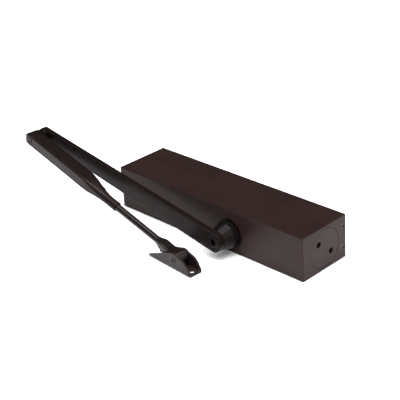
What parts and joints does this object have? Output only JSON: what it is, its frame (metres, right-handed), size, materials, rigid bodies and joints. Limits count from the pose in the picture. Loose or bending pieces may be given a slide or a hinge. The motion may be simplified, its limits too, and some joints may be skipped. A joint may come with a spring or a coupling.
{
  "type": "door closer",
  "caption": "Surface-mounted rack-and-pinion door closer: rectangular body with a folded flat main arm, a channel forearm with an adjusting rod, and a pivoting frame shoe.",
  "frame": {"origin": "centre of the body's flat mounting face", "axes": "+X along the body away from the folded elbow, -Y from the body towards the arm, +Z away from the door"},
  "size_m": [0.3416, 0.1184, 0.07],
  "materials": {
    "body_shell": "satin dark bronze-brown paint over aluminium",
    "body_paint": "satin dark bronze-brown paint",
    "arm_paint": "satin dark bronze-brown paint",
    "dark_steel": "blackened satin",
    "machined_steel": "machined",
    "bearing_steel": "ground and polished",
    "spring_steel": "oiled",
    "cast_iron": "machined, oiled",
    "brass": "turned",
    "rubber": "matt"
  },
  "bodies": {
    "closer_body": {"housing": "body_shell", "right_end_plug": "body_paint", "left_end_plug": "body_paint", "right_plug_seal": "rubber", "left_plug_seal": "rubber", "near_bearing_cap": "dark_steel", "far_bearing_cap": "dark_steel", "near_shaft_seal": "rubber", "far_shaft_seal": "rubber", "near_bearing_outer_race": "bearing_steel", "far_bearing_outer_race": "bearing_steel", "near_bearing_balls": "bearing_steel", "far_bearing_balls": "bearing_steel", "far_dust_cap": "rubber", "outer_spring": "spring_steel", "inner_spring": "spring_steel", "spring_screw_seal": "rubber"},
    "pinion": {"pinion_shaft": "machined_steel", "near_bearing_inner_race": "bearing_steel", "far_bearing_inner_race": "bearing_steel", "arm_hub": "arm_paint", "main_arm": "arm_paint", "arm_screw": "dark_steel", "arm_washer": "dark_steel", "elbow_pin": "dark_steel", "elbow_washer": "dark_steel"},
    "piston": {"piston": "cast_iron", "piston_ring": "rubber", "check_valve_seat": "brass", "check_valve_ball": "bearing_steel"},
    "spring_seat": {"spring_seat": "machined_steel"},
    "spring_screw": {"spring_screw": "machined_steel"},
    "sweep_valve": {"sweep_valve": "dark_steel", "sweep_valve_seal": "rubber"},
    "latch_valve": {"latch_valve": "dark_steel", "latch_valve_seal": "rubber"},
    "forearm": {"forearm": "arm_paint", "elbow_bush": "dark_steel", "rod_clamp_screw": "dark_steel"},
    "rod": {"adjusting_rod": "arm_paint"},
    "shoe": {"shoe": "arm_paint", "shoe_pin": "dark_steel"}
  },
  "joints": [
    {"name": "pinion_turn", "type": "hinge", "parent": "closer_body", "child": "pinion", "pos_m": [0.031, 0, 0.019], "axis": [0, 1, 0], "range_deg": [0, 160], "stiffness_Nm_per_rad": 6, "springref_deg": -85.94},
    {"name": "piston_slide", "type": "slide", "parent": "closer_body", "child": "piston", "axis": [-1, 0, 0], "range_m": [0, 0.021], "deforming": ["outer_spring", "inner_spring"]},
    {"name": "elbow_pivot", "type": "hinge", "parent": "pinion", "child": "forearm", "pos_m": [-0.21316, -0.0634, 0.06249], "axis": [0, 1, 0], "range_deg": [-180, 0]},
    {"name": "rod_slide", "type": "slide", "parent": "forearm", "child": "rod", "axis": [0.9749, -0.0682, -0.2118], "range_m": [-0.03, 0.03]},
    {"name": "shoe_pivot", "type": "hinge", "parent": "rod", "child": "shoe", "pos_m": [0.01434, -0.07931, 0.01], "axis": [0.0698, 0.9976, 0], "range_deg": [-150, 12]},
    {"name": "spring_screw_turn", "type": "hinge", "parent": "closer_body", "child": "spring_screw", "pos_m": [-0.11, 0, 0.022], "axis": [1, 0, 0], "range_deg": [0, 3620]},
    {"name": "spring_seat_slide", "type": "slide", "parent": "closer_body", "child": "spring_seat", "axis": [1, 0, 0], "range_m": [0, 0.015], "deforming": ["outer_spring", "inner_spring"]},
    {"name": "sweep_valve_turn", "type": "hinge", "parent": "closer_body", "child": "sweep_valve", "pos_m": [0.11, 0.0245, 0.011], "axis": [1, 0, 0], "range_deg": [-360, 360]},
    {"name": "latch_valve_turn", "type": "hinge", "parent": "closer_body", "child": "latch_valve", "pos_m": [0.11, 0.0245, 0.033], "axis": [1, 0, 0], "range_deg": [-360, 360]}
  ],
  "couplings": [
    {"joint": "piston_slide", "follows": "pinion_turn", "m_per_rad": 0.0075},
    {"joint": "spring_screw_turn", "follows": "spring_seat_slide", "rad_per_m": 4188.8}
  ]
}
